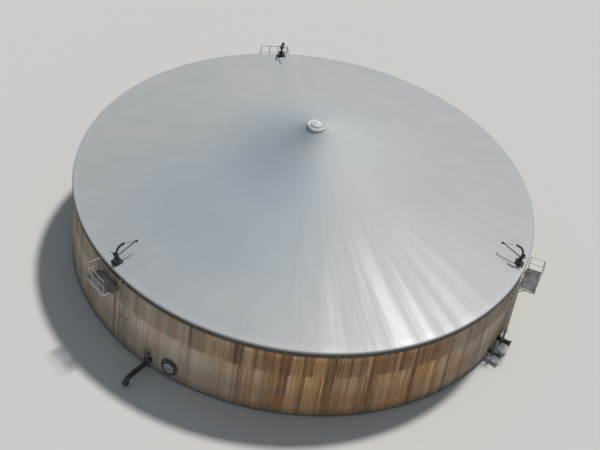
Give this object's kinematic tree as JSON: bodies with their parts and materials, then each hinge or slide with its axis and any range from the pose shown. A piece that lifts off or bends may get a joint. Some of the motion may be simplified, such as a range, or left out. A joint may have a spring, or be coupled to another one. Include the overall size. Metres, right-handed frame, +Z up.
{
  "type": "biogas digester",
  "caption": "Round above-ground digester tank with board cladding, tent-shaped membrane roof, swivelling davits, service platforms, ladders, manway and valves.",
  "frame": {"origin": "centre of the floor slab's underside, at ground level", "axes": "+Z up; +Y away from the picture's viewer; +X to the picture's right"},
  "size_m": [30, 31.08, 10.9],
  "materials": {
    "concrete": "weathered cast concrete",
    "cladding_boards": "weathered vertical boards with dark run-off streaks",
    "dark_sheet": "dark satin sheet metal",
    "roof_membrane": "coated light grey membrane, satin",
    "galvanised_steel": "hot-dip galvanised, matt",
    "black_paint": "near-black satin paint",
    "peak_cap": "white coated metal",
    "manway_steel": "galvanised, dull",
    "pipe_paint": "dark coating, satin"
  },
  "bodies": {
    "tank": {"floor_slab": "concrete", "wall_segment_1": "concrete", "wall_segment_2": "concrete", "wall_segment_3": "concrete", "wall_segment_4": "concrete", "wall_segment_5": "concrete", "wall_segment_6": "concrete", "cladding_1": "cladding_boards", "cladding_2": "cladding_boards", "cladding_3": "cladding_boards", "cladding_4": "cladding_boards", "cladding_5": "cladding_boards", "cladding_6": "cladding_boards", "coping_1": "dark_sheet", "coping_2": "dark_sheet", "roof_gore_1": "roof_membrane", "roof_gore_2": "roof_membrane", "roof_gore_3": "roof_membrane", "roof_gore_4": "roof_membrane", "roof_gore_5": "roof_membrane", "roof_gore_6": "roof_membrane", "centre_column": "galvanised_steel", "peak_ring": "galvanised_steel", "peak_cap": "peak_cap", "davit_left_socket": "black_paint", "davit_right_socket": "black_paint", "davit_back_socket": "black_paint", "platform_left_deck": "galvanised_steel", "platform_left_front_rail": "galvanised_steel", "platform_left_end_rail": "galvanised_steel", "ladder_left": "galvanised_steel", "platform_right_deck": "galvanised_steel", "platform_right_front_rail": "galvanised_steel", "platform_right_end_rail": "galvanised_steel", "ladder_right": "galvanised_steel", "platform_back_deck": "galvanised_steel", "platform_back_front_rail": "galvanised_steel", "platform_back_end_rail": "galvanised_steel", "ladder_back": "galvanised_steel", "manway_frame": "pipe_paint", "manway_cover": "manway_steel", "drain_valve": "pipe_paint", "transfer_valve": "pipe_paint", "feed_valve": "pipe_paint"},
    "jib_left": {"davit_left_jib": "black_paint"},
    "jib_right": {"davit_right_jib": "black_paint"},
    "jib_back": {"davit_back_jib": "black_paint"}
  },
  "joints": [
    {"name": "jib_left_swivel", "type": "hinge", "parent": "tank", "child": "jib_left", "pos_m": [-12.60067, -7.275, 6.05], "axis": [0, 0, 1], "range_deg": [-180, 180]},
    {"name": "jib_right_swivel", "type": "hinge", "parent": "tank", "child": "jib_right", "pos_m": [12.47178, -7.4938, 6.05], "axis": [0, 0, 1], "range_deg": [-180, 180]},
    {"name": "jib_back_swivel", "type": "hinge", "parent": "tank", "child": "jib_back", "pos_m": [0.25393, 14.54778, 6.05], "axis": [0, 0, 1], "range_deg": [-180, 180]}
  ]
}
